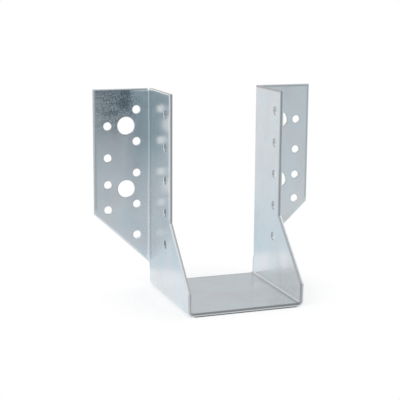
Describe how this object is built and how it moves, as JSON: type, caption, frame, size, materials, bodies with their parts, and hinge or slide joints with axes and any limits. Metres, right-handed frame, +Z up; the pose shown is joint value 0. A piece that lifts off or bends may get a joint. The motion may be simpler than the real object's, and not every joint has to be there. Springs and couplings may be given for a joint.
{
  "type": "joist hanger",
  "caption": "Joist hanger folded from one strip of galvanised sheet: a seat and two sides cradle the joist, and two flanges spread outwards against the header.",
  "frame": {"origin": "middle of the box on the underside of the seat: X midway between the sides, Y midway between the seat's front edge and the flanges' backs, Z at the underside", "axes": "+X across the joist, +Y from the seat's front edge towards the header, +Z up"},
  "size_m": [0.146, 0.077, 0.127],
  "materials": {
    "galvanised_sheet": "hot-dip galvanised sheet, cool grey, semi-gloss, with faint rolling streaks and spangle; cut edges darker"
  },
  "bodies": {
    "root": {"hanger": "galvanised_sheet"}
  },
  "joints": []
}
